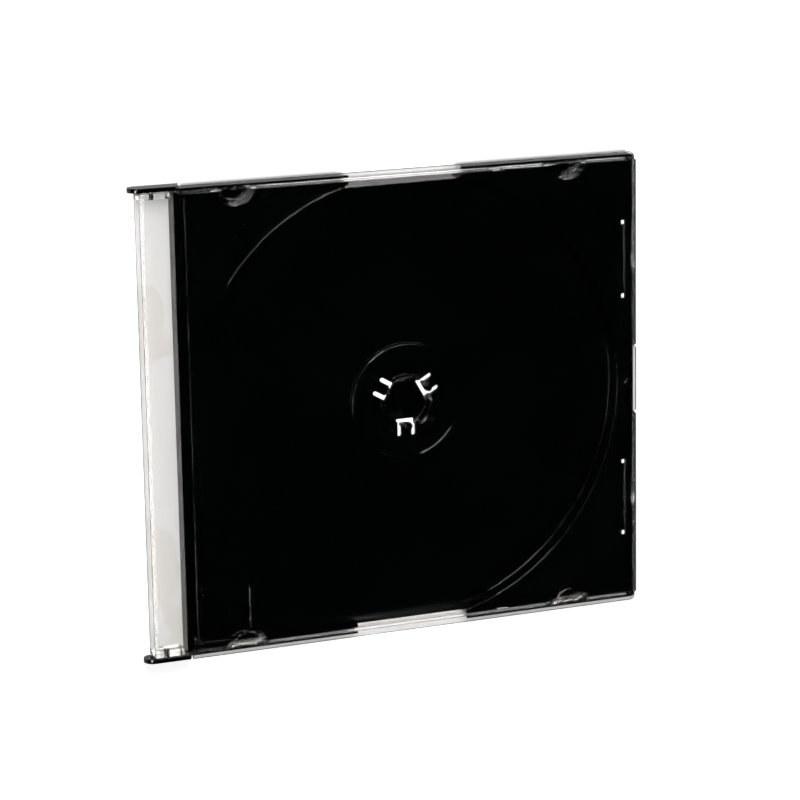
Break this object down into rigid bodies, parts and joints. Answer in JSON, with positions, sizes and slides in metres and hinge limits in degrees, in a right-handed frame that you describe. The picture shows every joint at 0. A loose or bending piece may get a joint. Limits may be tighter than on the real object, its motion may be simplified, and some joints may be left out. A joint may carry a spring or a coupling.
{
  "type": "slim disc case",
  "caption": "Slim hinged case for an optical disc: black base with a sprung hub, and a clear lid that swings on two side arms.",
  "frame": {"origin": "middle of the case's outline, on the surface its back lies on", "axes": "+X from the hinge to the opening edge, +Y along the hinge, +Z through the clear lid"},
  "size_m": [0.142, 0.125, 0.0052],
  "materials": {
    "black_polystyrene": "black, polished",
    "clear_polystyrene": "clear, polished"
  },
  "bodies": {
    "base": {"base": "black_polystyrene"},
    "lid": {"lid": "clear_polystyrene"}
  },
  "joints": [
    {"name": "lid_hinge", "type": "hinge", "parent": "base", "child": "lid", "pos_m": [-0.0651, 0, 0.0026], "axis": [0, -1, 0], "range_deg": [0, 180]}
  ]
}
